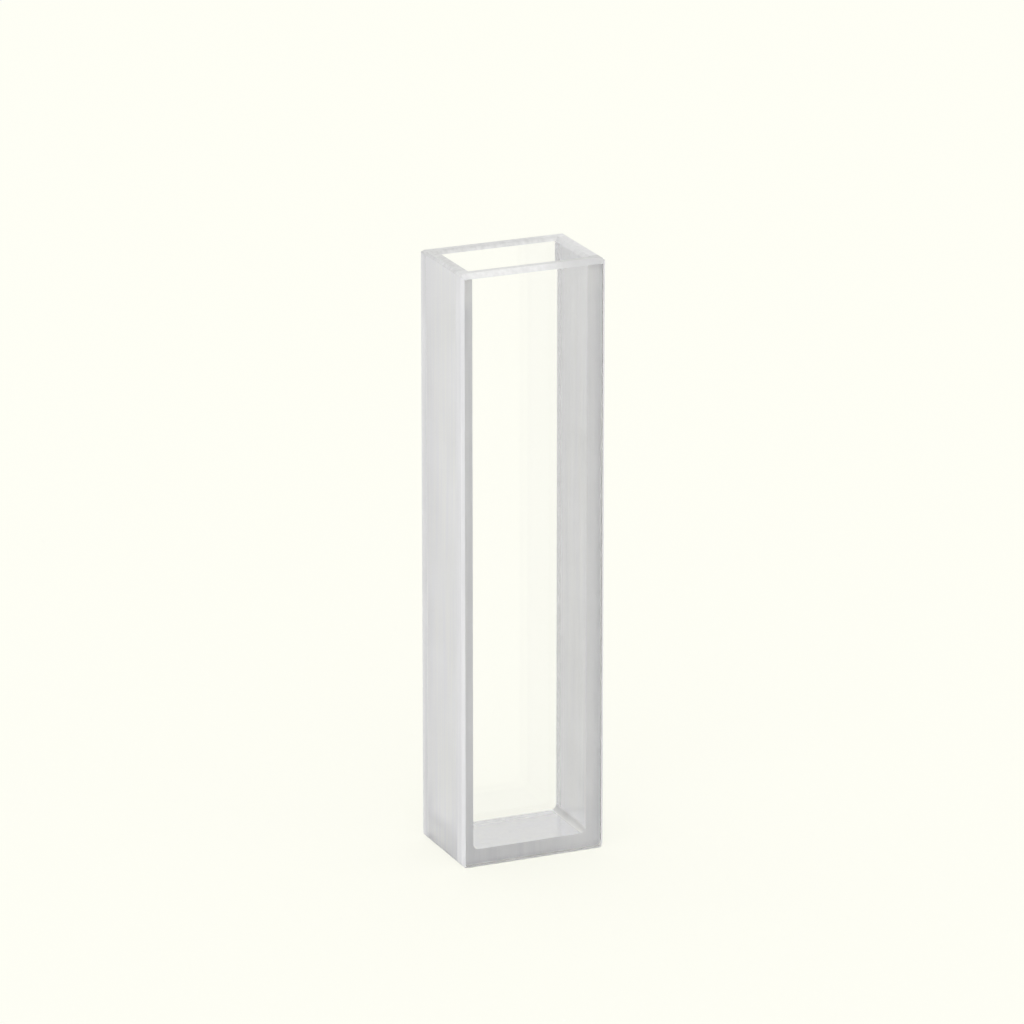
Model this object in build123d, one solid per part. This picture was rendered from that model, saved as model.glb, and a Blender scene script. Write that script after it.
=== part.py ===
from build123d import *
import os

# A glass cuvette: a ground U-shaped frame between two polished windows, fused into one open cell.
# Millimetres, +Z up. The origin is the middle of the base, +X runs along the windows and the
# front window is on the -Y side.

# Driving dimensions of the cell
cell_width = 12.5           # outside, along the windows: the width that a cell holder takes
cell_height = 50.0
path_length = 6.0           # inside, from window to window
window_thickness = 1.25
side_wall = 1.25
floor_thickness = 1.25

# Rounded turns of the U-shaped frame
floor_fillet = 0.5          # inside, where a side wall runs into the floor
heel_radius = 0.5           # outside, where a side wall runs into the base

# Ground bevels along the outside edges and round the mouth
window_rim_bevel = 0.4      # top outside edge of each window
side_rim_bevel = 0.2        # top outside edge of each side wall
mouth_bevel = 0.3           # inside edge of the rim, all round
upright_bevel = 0.25        # four upright corners
base_bevel = 0.2            # front and rear edges of the base
bevel_angle = 45.0          # degrees

# How far a cutting shape runs past what it cuts
overrun = 2.0

cell_depth = path_length + 2 * window_thickness
inner_width = cell_width - 2 * side_wall


def standing_rectangle(plane, width, lower):
    """A rectangle in an upright plane through the cell's middle, from one height to the rim."""
    outline = Rectangle(width, cell_height - lower, align=(Align.CENTER, Align.MIN))
    return plane * Pos(0, lower) * outline


def lower_corners(outline):
    return outline.vertices().group_by(Axis.Z)[0]


def upper_corners(outline):
    return outline.vertices().group_by(Axis.Z)[-1]


def plan_outline():
    """The cell from above: a rectangle with bevelled upright corners."""
    outline = Rectangle(cell_width, cell_depth)
    return chamfer(outline.vertices(), upright_bevel)


def front_outline():
    """The cell from the front: rounded heels at the base and bevels at the side walls' rim."""
    outline = standing_rectangle(Plane.XZ, cell_width, 0)
    outline = fillet(lower_corners(outline), heel_radius)
    return chamfer(upper_corners(outline), side_rim_bevel)


def side_outline():
    """The cell from the side: bevels at the windows' base and rim."""
    outline = standing_rectangle(Plane.YZ, cell_depth, 0)
    outline = chamfer(lower_corners(outline), base_bevel)
    return chamfer(upper_corners(outline), window_rim_bevel)


def blank():
    """The whole cell before it is hollowed: what its plan, front and side outlines share."""
    from_above = extrude(plan_outline(), amount=cell_height)
    from_front = extrude(front_outline(), amount=cell_depth / 2 + overrun, both=True)
    from_side = extrude(side_outline(), amount=cell_width / 2 + overrun, both=True)
    return from_above & from_front & from_side


def well():
    """The sample space between the windows: a channel with a rounded floor, open at the rim."""
    channel = standing_rectangle(Plane.XZ, inner_width, floor_thickness)
    channel = fillet(lower_corners(channel), floor_fillet)
    return extrude(channel, amount=path_length / 2, both=True)


def mouth():
    """The bevel round the well's mouth: a frustum that widens up to the rim."""
    opening = Pos(0, 0, cell_height - mouth_bevel) * Rectangle(inner_width, path_length)
    return extrude(opening, amount=mouth_bevel, taper=-bevel_angle)


def seam(depth):
    """An upright plane where a window is fused to the frame, facing the rear."""
    return Plane((0, depth, 0), x_dir=(1, 0, 0), z_dir=(0, 1, 0))


# The three pieces are cut from one cell, so that their outsides, rims and bases run flush
cell = blank() - well() - mouth()
front_seam = seam(-path_length / 2)
rear_seam = seam(path_length / 2)
front_window = split(cell, front_seam, Keep.BOTTOM)
rear_window = split(cell, rear_seam, Keep.TOP)
u_frame = split(split(cell, front_seam, Keep.TOP), rear_seam, Keep.BOTTOM)

os.makedirs("parts", exist_ok=True)
export_step(u_frame, "parts/u_frame.step")
export_step(front_window, "parts/front_window.step")
export_step(rear_window, "parts/rear_window.step")
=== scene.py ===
from math import atan, cos, radians, sin

import bpy
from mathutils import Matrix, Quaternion, Vector


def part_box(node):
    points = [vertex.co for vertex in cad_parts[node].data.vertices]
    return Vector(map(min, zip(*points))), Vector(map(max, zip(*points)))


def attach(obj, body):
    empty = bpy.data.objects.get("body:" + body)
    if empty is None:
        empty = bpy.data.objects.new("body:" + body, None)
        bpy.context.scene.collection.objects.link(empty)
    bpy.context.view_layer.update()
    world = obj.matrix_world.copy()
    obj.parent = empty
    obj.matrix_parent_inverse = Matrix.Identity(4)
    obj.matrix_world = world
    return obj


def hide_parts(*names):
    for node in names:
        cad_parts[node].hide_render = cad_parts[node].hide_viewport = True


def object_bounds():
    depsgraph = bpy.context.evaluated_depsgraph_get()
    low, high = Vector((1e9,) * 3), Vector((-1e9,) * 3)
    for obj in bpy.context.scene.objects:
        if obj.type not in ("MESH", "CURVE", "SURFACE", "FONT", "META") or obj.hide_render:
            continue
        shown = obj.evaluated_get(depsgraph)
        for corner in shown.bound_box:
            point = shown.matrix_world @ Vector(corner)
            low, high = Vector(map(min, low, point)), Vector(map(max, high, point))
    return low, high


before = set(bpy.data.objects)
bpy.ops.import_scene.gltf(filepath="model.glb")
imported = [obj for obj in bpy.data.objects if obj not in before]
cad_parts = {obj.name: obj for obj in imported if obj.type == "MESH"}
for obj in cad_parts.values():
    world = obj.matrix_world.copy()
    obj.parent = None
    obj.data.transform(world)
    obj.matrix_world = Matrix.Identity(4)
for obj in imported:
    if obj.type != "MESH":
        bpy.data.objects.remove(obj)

# A glass cuvette on cream paper: a ground U-shaped frame fused between two polished panes.
# Metres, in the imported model's frame.
MM = 0.001
cad_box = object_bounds()
CELL_SIDE, CELL_REAR, CELL_TOP = cad_box[1]
REAR_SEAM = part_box("rear_window")[0][1]

# The photograph's view, with the cell's middle at a pixel of its frame
IMAGE_PX = 1024
CELL_MIDDLE_PX = (512.7, 551.7)
CAMERA_AZIMUTH = radians(-23.62)
CAMERA_ELEVATION = radians(18.27)
CAMERA_DISTANCE = 559 * MM
CLIP_START = CAMERA_DISTANCE / 10
LENS_MM = 243.4
SENSOR_MM = 36.0

# The studio: a dome of even white light, one broad lamp from the upper left front, and cream paper
DOME_STRENGTH = 0.95
LAMP_STRENGTH = 0.5
LAMP_SPREAD = radians(60)
LAMP_TURN = (radians(45), radians(-30), 0)
LIGHT_COLOUR = "#FFFFFF"
BACKDROP_COLOUR = "#FEFEF4"
PAPER_COLOUR = "#FCFCFC"
PAPER_GLOW = "#FEFEF2"
PAPER_GLOW_SHARE = 0.8
PAPER_SIZE = 6.0
PAPER_DROP = 0.02 * MM      # keeps the paper and the cell's base from lying in one place
MATT_BOUNCE = 0.5           # parts light that has met no matt face from light that has met one

# The frame's fused faces are drawn back by a hair, so that no two faces of glass lie in one place
SEAM_HAIR = 0.02 * MM
MERGE_DISTANCE = 0.0005 * MM
SAME_PLANE = radians(0.5)
SMOOTH_BELOW = radians(20)
FLAT_ON = 0.99              # share of a face's normal along the axis that it squarely faces
BEVEL_ON = 0.5              # the same for a face that may be bevelled
CORNER_ON = 0.01            # a face of the well that looks up by more than this is in a corner
RIM_BAND = 0.5 * MM         # faces with their middle this near the top belong to the rim
FOOT_BAND = 2 * MM          # a level face this near the paper is the floor of the well

# Optical glass, and the sizes in its surface
GLASS_IOR = 1.5
GRIT_SIZE = 0.15 * MM       # real pits are about 0.03 mm, and are drawn coarser so that they show
PIT_DEPTH = GRIT_SIZE / 4
PIT_STRENGTH = 0.2
STREAK_WIDTH = 0.35 * MM
STREAK_LENGTH = 12 * MM
FINE_DETAIL = 2.0           # layers of smaller noise within the streaks and the pits
CLOUD_SIZE = 6 * MM
CLOUD_DETAIL = 3.0          # and within the clouds and the polish
CLOUD_SHARE = 0.25          # the rest of the tone is in the streaks
TONE_FROM, TONE_TO = 0.35, 0.65     # noise at the darkest and the palest tone of a ground face
MATT_FROM, MATT_TO = 0.3, 0.7       # noise where a ground face is smoothest and roughest
POLISH_SIZE = 9 * MM
HAZE_FROM, HAZE_TO = 0.4, 0.8       # noise where a polished face is clear and haziest
HAZE_ROUGHNESS = 0.03

# Where a ground finish changes along a face
MOUTH_LIGHT_BAND = 3.5 * MM       # depth of the band of painted light at the mouth
FRONT_HIGHLIGHT_TO = 0.5 * MM        # how far to the right of the middle the front rim keeps its painted highlight
FRONT_HIGHLIGHT_RUN_OUT = 3.5 * MM    # and how far on the painted highlight then fades to painted shade
RIM_HIGHLIGHT_END = 2.5 * MM        # painted highlight at the right end of the frame's rim
REAR_HIGHLIGHT_BORDER = 1 * MM       # width of the painted highlight at the rear of the rear pane's edges
REAR_SHADE_RUN = 2.5 * MM         # how far the sides run greyer with painted shade, up to the rear seam
COARSE_BELOW = 1 * MM       # the foot's coarse grinding fades out between these heights
FINE_ABOVE = 3.5 * MM
COARSE_ROUGHNESS = 0.95

# The two colour inputs of a Mix node and its colour output
MIX_A, MIX_B, MIX_RESULT = 6, 7, 2


def linear(hex_colour):
    """An sRGB hex colour as Blender's linear RGBA."""
    shares = [int(hex_colour[i:i + 2], 16) / 255 for i in (1, 3, 5)]
    return tuple(c / 12.92 if c <= 0.04045 else ((c + 0.055) / 1.055) ** 2.4 for c in shares) + (1.0,)


def add_node(tree, kind, inputs=None, **settings):
    """Adds a node: settings go on the node itself, inputs are values or sockets to link from."""
    added = tree.nodes.new(kind)
    for name, value in settings.items():
        setattr(added, name, value)
    for name, value in (inputs or {}).items():
        if isinstance(value, bpy.types.NodeSocket):
            tree.links.new(value, added.inputs[name])
        else:
            added.inputs[name].default_value = value
    return added


def new_material(name):
    material = bpy.data.materials.new(name)
    material.use_nodes = True
    material.node_tree.nodes.clear()
    return material, material.node_tree


def ground_glass(name, dark, pale, smooth, rough, clear):
    """Glass ground with loose grit: cloudy, streaked upright by the lap, and pitted all over.

    Its tone runs from dark to pale and its roughness from smooth to rough. Clear is the share of
    the light that goes on into the glass.
    """
    material, tree = new_material(name)
    place = add_node(tree, "ShaderNodeTexCoord").outputs["Object"]
    upright = add_node(tree, "ShaderNodeMapping", {
        "Vector": place, "Scale": (1 / STREAK_WIDTH, 1 / STREAK_WIDTH, 1 / STREAK_LENGTH)})
    streaks = add_node(tree, "ShaderNodeTexNoise", {
        "Vector": upright.outputs["Vector"], "Scale": 1.0, "Detail": FINE_DETAIL})
    clouds = add_node(tree, "ShaderNodeTexNoise", {
        "Vector": place, "Scale": 1 / CLOUD_SIZE, "Detail": CLOUD_DETAIL})
    pits = add_node(tree, "ShaderNodeTexNoise", {
        "Vector": place, "Scale": 1 / GRIT_SIZE, "Detail": FINE_DETAIL})
    tone = add_node(tree, "ShaderNodeMix", {
        "Factor": CLOUD_SHARE, "A": streaks.outputs["Fac"], "B": clouds.outputs["Fac"]},
        data_type="FLOAT")
    share = add_node(tree, "ShaderNodeMapRange", {
        "Value": tone.outputs["Result"], "From Min": TONE_FROM, "From Max": TONE_TO})
    colour = add_node(tree, "ShaderNodeMix", {
        "Factor": share.outputs["Result"], MIX_A: linear(dark), MIX_B: linear(pale)},
        data_type="RGBA")
    matt = add_node(tree, "ShaderNodeMapRange", {
        "Value": clouds.outputs["Fac"], "From Min": MATT_FROM, "From Max": MATT_TO,
        "To Min": smooth, "To Max": rough})
    bump = add_node(tree, "ShaderNodeBump", {
        "Height": pits.outputs["Fac"], "Strength": PIT_STRENGTH, "Distance": PIT_DEPTH})
    shader = add_node(tree, "ShaderNodeBsdfPrincipled", {
        "Base Color": colour.outputs[MIX_RESULT], "Roughness": matt.outputs["Result"],
        "IOR": GLASS_IOR, "Transmission Weight": clear, "Normal": bump.outputs["Normal"]})
    add_node(tree, "ShaderNodeOutputMaterial", {"Surface": shader.outputs["BSDF"]})
    return material


def workings(material):
    """A finish's node tree, the place on the piece that it reads, and its shader."""
    tree = material.node_tree
    return tree, tree.nodes["Texture Coordinate"].outputs["Object"], tree.nodes["Principled BSDF"]


def turn_colour(material, axis, start, end, colour, most=1.0):
    """Fades a finish into another colour along an axis, from none of it at start to most at end."""
    tree, place, shader = workings(material)
    along = add_node(tree, "ShaderNodeSeparateXYZ", {"Vector": place})
    share = add_node(tree, "ShaderNodeMapRange", {
        "Value": along.outputs[axis], "From Min": start, "From Max": end, "To Max": most},
        interpolation_type="SMOOTHSTEP")
    before = shader.inputs["Base Color"].links[0].from_socket
    turned = add_node(tree, "ShaderNodeMix", {
        "Factor": share.outputs["Result"], MIX_A: before, MIX_B: linear(colour)}, data_type="RGBA")
    tree.links.new(turned.outputs[MIX_RESULT], shader.inputs["Base Color"])


# The sides were ground flat on a lap, with fine loose grit and strokes along their height. The pits
# scatter light both ways, so the eye gets a pale even frost with faint upright streaks and no mirror
# image. Painted shade makes the frost greyer near the rear seam. The foot is taken to be ground
# coarser, with the base, so that it spreads light into the corners of the well.
def ground_sides():
    material = ground_glass("ground optical glass sides", dark="#F4F4FC", pale="#FFFFFF",
                            smooth=0.33, rough=0.38, clear=0.8)
    # Painted shade: the frost greys towards the rear seam.
    turn_colour(material, "Y", REAR_SEAM - REAR_SHADE_RUN, REAR_SEAM, "#E8E8F0", most=0.6)
    tree, place, shader = workings(material)
    height = add_node(tree, "ShaderNodeSeparateXYZ", {"Vector": place})
    above_foot = shader.inputs["Roughness"].links[0].from_socket
    foot = add_node(tree, "ShaderNodeMapRange", {
        "Value": height.outputs["Z"], "From Min": COARSE_BELOW, "From Max": FINE_ABOVE,
        "To Min": COARSE_ROUGHNESS, "To Max": above_foot}, interpolation_type="SMOOTHSTEP")
    tree.links.new(foot.outputs["Result"], shader.inputs["Roughness"])
    return material


# The well's walls were ground with finer grit than the sides, so they are smoother and take on
# the light that comes through from outside.
def well_walls():
    return ground_glass("finely ground optical glass walls", dark="#EAEAF6", pale="#F4F4FF",
                        smooth=0.15, rough=0.25, clear=1.0)


# The floor of the well was lapped almost to a polish, so what lies under it shows through, blurred.
def lapped_floor():
    return ground_glass("lapped optical glass floor", dark="#E8E8FF", pale="#F2F2FF",
                        smooth=0.08, rough=0.16, clear=1.0)


# The base was squared with coarse grit, so it spreads the light that comes up from the paper.
def ground_base():
    return ground_glass("coarse ground optical glass base", dark="#F8F8FF", pale="#FFFFFF",
                        smooth=0.8, rough=0.9, clear=1.0)


# The rounded corners of the well were stoned by hand. They bend the light of the ground foot to
# the eye, and show as a pale line.
def well_corners():
    return ground_glass("stoned optical glass corners", dark="#F6F6FF", pale="#FBFBFF",
                        smooth=0.34, rough=0.42, clear=1.0)


# The frame's front face was ground matt before the pane was fused to it, so through the pane it
# is a soft grey U. Painted light makes it whiter towards the right, and whitest at the mouth.
def front_seam():
    material = ground_glass("matt fused optical glass seam", dark="#E8E8EC", pale="#F4F4F6",
                            smooth=0.4, rough=0.5, clear=0.3)
    # Painted light: the seam whitens towards the right, and is whitest in a band at the mouth.
    turn_colour(material, "X", 0.0, CELL_SIDE, "#FFFFFF", most=0.6)
    turn_colour(material, "Z", CELL_TOP - MOUTH_LIGHT_BAND, CELL_TOP - MOUTH_LIGHT_BAND / 2, "#FFFFFF")
    return material


# The frame's rear face was ground fine, and its fused seam is almost clear.
def rear_seam():
    return ground_glass("fine fused optical glass seam", dark="#F4F4FA", pale="#FFFFFF",
                        smooth=0.02, rough=0.06, clear=1.0)


# The rim of the frame and the rear pane was ground level, and is a matt grey-white line. Painted
# light makes its right end whiter.
def ground_rim():
    material = ground_glass("ground optical glass rim", dark="#D6D6D6", pale="#E6E6E6",
                            smooth=0.45, rough=0.6, clear=0.2)
    # Painted highlight: the rim whitens at its right end.
    turn_colour(material, "X", CELL_SIDE - RIM_HIGHLIGHT_END, CELL_SIDE - RIM_HIGHLIGHT_END / 2, "#FFFFFF", most=0.3)
    return material


# The front pane's rim was bevelled with a fine stone once more. Painted light from above makes it
# whiter, apart from its right end, which painted shade fades to grey.
def front_rim():
    # Painted highlight: paler than the frame's rim, as if lit from above.
    material = ground_glass("stoned optical glass front rim", dark="#E2E2E2", pale="#EEEEEE",
                            smooth=0.45, rough=0.6, clear=0.2)
    # Painted shade: greyer towards the right end.
    turn_colour(material, "X", FRONT_HIGHLIGHT_TO, FRONT_HIGHLIGHT_TO + FRONT_HIGHLIGHT_RUN_OUT, "#D0D0D0", most=0.8)
    return material


# The front pane's narrow edges were sawn and ground coarse, so they are paler than the sides.
def front_edges():
    return ground_glass("coarse ground optical glass edges", dark="#F6F6F8", pale="#FEFEFF",
                        smooth=0.8, rough=0.95, clear=0.4)


# The rear pane's edges are taken to be ground once more, finer. Painted shade makes them greyer
# than the front pane's, and painted light leaves a border at the very rear white.
def rear_edges():
    # Painted shade: greyer than the front pane's edges.
    material = ground_glass("fine ground optical glass edges", dark="#E0E0E4", pale="#E8E8EC",
                            smooth=0.7, rough=0.85, clear=0.4)
    # Painted highlight: a white border at the very rear.
    turn_colour(material, "Y", CELL_REAR - REAR_HIGHLIGHT_BORDER, CELL_REAR, "#FFFFFF")
    return material


# The front pane's right edge is taken to be ground finer than its left one. It lets most light
# through, so the glass beside it isn't shaded.
def right_edge():
    return ground_glass("smooth ground optical glass edge", dark="#F6F6F8", pale="#FEFEFF",
                        smooth=0.65, rough=0.75, clear=0.85)


# The front pane's base and its bevel are coarse but let most light through, so the paper lights
# the foot of the grey U.
def pane_base():
    return ground_glass("ground optical glass pane base", dark="#F8F8FA", pale="#FFFFFF",
                        smooth=0.8, rough=0.95, clear=0.7)


# The panes' faces were polished to an optical flat. They are clear to the eye and give a sharp
# faint mirror image, with only a trace of haze from the last polish.
def polished_faces():
    material, tree = new_material("polished optical glass")
    place = add_node(tree, "ShaderNodeTexCoord").outputs["Object"]
    polish = add_node(tree, "ShaderNodeTexNoise", {
        "Vector": place, "Scale": 1 / POLISH_SIZE, "Detail": CLOUD_DETAIL})
    haze = add_node(tree, "ShaderNodeMapRange", {
        "Value": polish.outputs["Fac"], "From Min": HAZE_FROM, "From Max": HAZE_TO,
        "To Min": 0.0, "To Max": HAZE_ROUGHNESS})
    shader = add_node(tree, "ShaderNodeBsdfPrincipled", {
        "Base Color": linear("#FFFFFF"), "Roughness": haze.outputs["Result"], "IOR": GLASS_IOR,
        "Transmission Weight": 1.0})
    add_node(tree, "ShaderNodeOutputMaterial", {"Surface": shader.outputs["BSDF"]})
    return material


def seen_straight(tree):
    """1 for what the eye sees straight, mirrored or through glass, 0 for what lights a matt face."""
    path = add_node(tree, "ShaderNodeLightPath")
    eye = add_node(tree, "ShaderNodeMath", {
        0: path.outputs["Is Camera Ray"], 1: path.outputs["Is Glossy Ray"]}, operation="MAXIMUM")
    seen = add_node(tree, "ShaderNodeMath", {
        0: eye.outputs["Value"], 1: path.outputs["Is Transmission Ray"]}, operation="MAXIMUM")
    direct = add_node(tree, "ShaderNodeMath", {
        0: path.outputs["Diffuse Depth"], 1: MATT_BOUNCE}, operation="LESS_THAN")
    both = add_node(tree, "ShaderNodeMath", {
        0: seen.outputs["Value"], 1: direct.outputs["Value"]}, operation="MULTIPLY")
    return both.outputs["Value"]


# Smooth matt paper. It is lit and shaded as paper is, and shows its cream to the eye.
def backdrop_paper():
    material, tree = new_material("cream backdrop paper")
    share = add_node(tree, "ShaderNodeMath", {
        0: seen_straight(tree), 1: PAPER_GLOW_SHARE}, operation="MULTIPLY")
    matt = add_node(tree, "ShaderNodeBsdfDiffuse", {"Color": linear(PAPER_COLOUR)})
    glow = add_node(tree, "ShaderNodeEmission", {"Color": linear(PAPER_GLOW), "Strength": 1.0})
    mixed = add_node(tree, "ShaderNodeMixShader", {
        0: share.outputs["Value"], 1: matt.outputs["BSDF"], 2: glow.outputs["Emission"]})
    add_node(tree, "ShaderNodeOutputMaterial", {"Surface": mixed.outputs["Shader"]})
    return material


def lay_paper():
    bpy.ops.object.select_all(action="DESELECT")
    bpy.ops.mesh.primitive_plane_add(size=PAPER_SIZE, location=(0, 0, -PAPER_DROP))
    paper = bpy.context.object
    paper.name = "backdrop_paper"
    paper.data.materials.append(backdrop_paper())


def light_studio():
    world = bpy.data.worlds.new("studio")
    world.use_nodes = True
    tree = world.node_tree
    tree.nodes.clear()
    dome = add_node(tree, "ShaderNodeBackground", {
        "Color": linear(LIGHT_COLOUR), "Strength": DOME_STRENGTH})
    backdrop = add_node(tree, "ShaderNodeBackground", {
        "Color": linear(BACKDROP_COLOUR), "Strength": 1.0})
    mixed = add_node(tree, "ShaderNodeMixShader", {
        0: seen_straight(tree), 1: dome.outputs["Background"], 2: backdrop.outputs["Background"]})
    add_node(tree, "ShaderNodeOutputWorld", {"Surface": mixed.outputs["Shader"]})
    bpy.context.scene.world = world
    bpy.ops.object.light_add(type="SUN", rotation=LAMP_TURN)
    lamp = bpy.context.object
    lamp.data.energy = LAMP_STRENGTH
    lamp.data.angle = LAMP_SPREAD


def place_camera():
    """Looks at the cell from the photograph's side, turned so that its middle falls on its pixel."""
    middle = (Vector(cad_box[0]) + Vector(cad_box[1])) / 2
    back = Vector((sin(CAMERA_AZIMUTH) * cos(CAMERA_ELEVATION),
                   -cos(CAMERA_AZIMUTH) * cos(CAMERA_ELEVATION), sin(CAMERA_ELEVATION)))
    focal_px = LENS_MM / SENSOR_MM * IMAGE_PX
    up_tilt = Quaternion((1, 0, 0), atan((CELL_MIDDLE_PX[1] - IMAGE_PX / 2) / focal_px))
    left_turn = Quaternion((0, 1, 0), atan((CELL_MIDDLE_PX[0] - IMAGE_PX / 2) / focal_px))
    aim = back.to_track_quat("Z", "Y") @ up_tilt @ left_turn
    bpy.ops.object.camera_add(location=middle + back * CAMERA_DISTANCE, rotation=aim.to_euler())
    camera = bpy.context.object
    camera.data.sensor_width = SENSOR_MM
    camera.data.lens = LENS_MM
    camera.data.clip_start = CLIP_START
    camera.data.clip_end = PAPER_SIZE
    bpy.context.scene.camera = camera


def copy_of(node, name, finishes):
    """A piece with the form of a CAD node, its loose triangles merged into whole faces."""
    piece = bpy.data.objects.new(name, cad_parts[node].data.copy())
    bpy.context.scene.collection.objects.link(piece)
    bpy.ops.object.select_all(action="DESELECT")
    piece.select_set(True)
    bpy.context.view_layer.objects.active = piece
    bpy.ops.object.mode_set(mode="EDIT")
    bpy.ops.mesh.select_all(action="SELECT")
    bpy.ops.mesh.remove_doubles(threshold=MERGE_DISTANCE)
    bpy.ops.mesh.dissolve_limited(angle_limit=SAME_PLANE)
    bpy.ops.mesh.normals_make_consistent(inside=False)
    bpy.ops.object.mode_set(mode="OBJECT")
    piece.data.materials.clear()
    for finish in finishes:
        piece.data.materials.append(finish)
    bpy.ops.object.shade_smooth_by_angle(angle=SMOOTH_BELOW)
    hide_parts(node)
    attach(piece, "root")
    return piece


def select_faces(piece, wanted):
    """Selects the faces that a test accepts, and leaves the piece in edit mode."""
    bpy.context.view_layer.objects.active = piece
    bpy.ops.object.mode_set(mode="EDIT")
    bpy.ops.mesh.select_mode(type="FACE")
    bpy.ops.mesh.select_all(action="DESELECT")
    bpy.ops.object.mode_set(mode="OBJECT")
    for face in piece.data.polygons:
        face.select = wanted(face)
    bpy.ops.object.mode_set(mode="EDIT")


def give_finish(piece, index, wanted):
    piece.active_material_index = index
    select_faces(piece, wanted)
    bpy.ops.object.material_slot_assign()
    bpy.ops.object.mode_set(mode="OBJECT")


def draw_back(piece, wanted, move):
    select_faces(piece, wanted)
    bpy.ops.transform.translate(value=(0, move, 0))
    bpy.ops.object.mode_set(mode="OBJECT")


def at_rim(face):
    return face.center.z > CELL_TOP - RIM_BAND


def faces_front(face):
    return face.normal.y < -FLAT_ON


def faces_rear(face):
    return face.normal.y > FLAT_ON


def on_window(face):
    return faces_front(face) or faces_rear(face)


def in_well(face):
    """True on the well's walls and rounded corners, which look towards the cell's middle."""
    return face.normal.x * face.center.x < 0


def in_corner(face):
    """True on the rounded corners between the well's walls and its floor."""
    return in_well(face) and face.normal.z > CORNER_ON


def on_floor(face):
    return face.normal.z > FLAT_ON and face.center.z < FOOT_BAND


def on_base(face):
    return face.normal.z < -FLAT_ON


def faces_down(face):
    """True on the base and its bevels."""
    return face.normal.z < -BEVEL_ON


def on_right_edge(face):
    return face.normal.x > FLAT_ON


def dress(node, name, overall, finishes):
    """A piece with one finish overall, and others on the faces that their tests accept."""
    piece = copy_of(node, name, [overall] + [finish for finish, wanted in finishes])
    for index, (finish, wanted) in enumerate(finishes, 1):
        give_finish(piece, index, wanted)
    return piece


rim = ground_rim()
polished = polished_faces()
ground_frame = dress("u_frame", "ground_frame", ground_sides(), [
    (well_walls(), in_well), (well_corners(), in_corner), (lapped_floor(), on_floor),
    (ground_base(), on_base), (front_seam(), faces_front), (rear_seam(), faces_rear),
    (rim, at_rim)])
draw_back(ground_frame, faces_front, SEAM_HAIR)
draw_back(ground_frame, faces_rear, -SEAM_HAIR)
dress("front_window", "front_pane", front_edges(), [
    (right_edge(), on_right_edge), (pane_base(), faces_down), (polished, on_window),
    (front_rim(), at_rim)])
dress("rear_window", "rear_pane", rear_edges(), [
    (polished, on_window), (rim, at_rim)])
lay_paper()
light_studio()
place_camera()
bpy.context.scene.view_settings.view_transform = "Standard"
